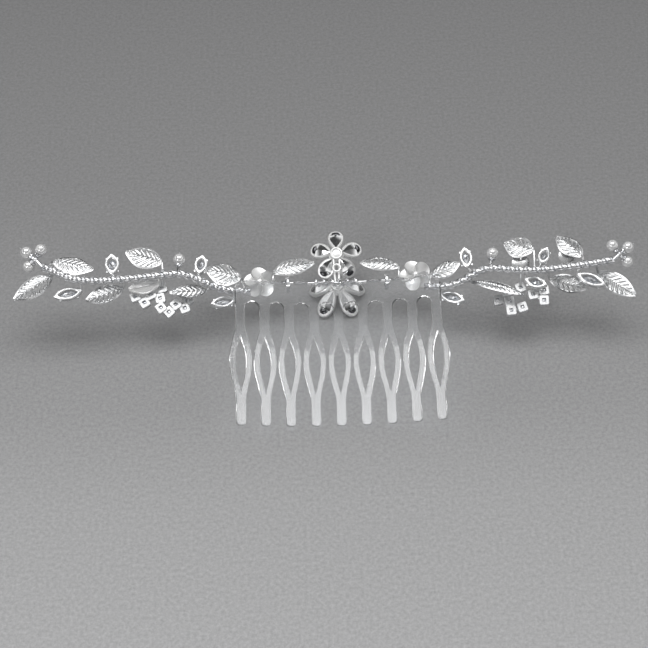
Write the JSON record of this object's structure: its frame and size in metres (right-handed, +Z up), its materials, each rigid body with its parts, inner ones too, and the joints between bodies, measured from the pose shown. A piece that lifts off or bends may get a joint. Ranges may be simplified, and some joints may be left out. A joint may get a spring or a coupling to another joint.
{
  "type": "decorative hair comb",
  "caption": "Clear side comb with looped teeth carrying a twisted-wire vine of ribbed leaves, claw-set crystals, pearl beads and a double crystal flower.",
  "frame": {"origin": "centre of the bounding box on the table plane that the comb lies on, face down, in the pictured pose", "axes": "+X along the comb from the left wing to the right one as seen from the head side; -Y to the tooth tips; +Z up from the table, with the comb plane leaning 22 degrees above it"},
  "size_m": [0.1998, 0.0704, 0.0304],
  "materials": {
    "clear_plastic": "clear polished moulding",
    "silver": "polished silver plate",
    "bright_silver": "bright polished silver plate",
    "crystal": "faceted clear crystal",
    "pearl": "white pearl"
  },
  "bodies": {
    "root": {"comb": "clear_plastic", "binding_wire": "silver", "stem_wire_left_a": "silver", "stem_wire_left_b": "silver", "stem_wire_right_a": "silver", "stem_wire_right_b": "silver", "leaf_left_end": "silver", "leaf_left_top": "silver", "leaf_left_low": "silver", "leaf_left_raised": "silver", "petal_left": "silver", "leaf_left_inner": "silver", "leaf_left_comb": "silver", "leaf_left_arch": "silver", "leaf_right_arch": "silver", "leaf_right_comb": "silver", "leaf_right_curved": "silver", "leaf_right_raised": "silver", "leaf_right_top": "silver", "leaf_right_low": "silver", "leaf_right_end": "silver", "setting_left_low": "bright_silver", "crystal_left_low": "crystal", "setting_left_upright": "bright_silver", "crystal_left_upright": "crystal", "setting_left_inner_upright": "bright_silver", "crystal_left_inner_upright": "crystal", "setting_left_inner_low": "bright_silver", "crystal_left_inner_low": "crystal", "setting_right_inner_low": "bright_silver", "crystal_right_inner_low": "crystal", "setting_right_inner_upright": "bright_silver", "crystal_right_inner_upright": "crystal", "setting_right_upright": "bright_silver", "crystal_right_upright": "crystal", "setting_right_cluster": "bright_silver", "crystal_right_cluster": "crystal", "setting_right_low": "bright_silver", "crystal_right_low": "crystal", "bead_frame_left": "silver", "bead_left_1": "pearl", "bead_left_2": "pearl", "bead_left_3": "pearl", "bead_frame_right": "silver", "bead_right_1": "pearl", "bead_right_2": "pearl", "bead_right_3": "pearl", "bead_cup_left": "silver", "bead_single_left": "pearl", "bead_cup_right": "silver", "bead_single_right": "pearl", "cup_cluster_left": "bright_silver", "cup_cluster_right": "bright_silver", "disc_flower_left": "silver", "disc_flower_right": "silver", "flower_upper": "bright_silver", "flower_lower": "bright_silver", "crystal_upper": "crystal", "crystal_lower": "crystal"}
  },
  "joints": []
}
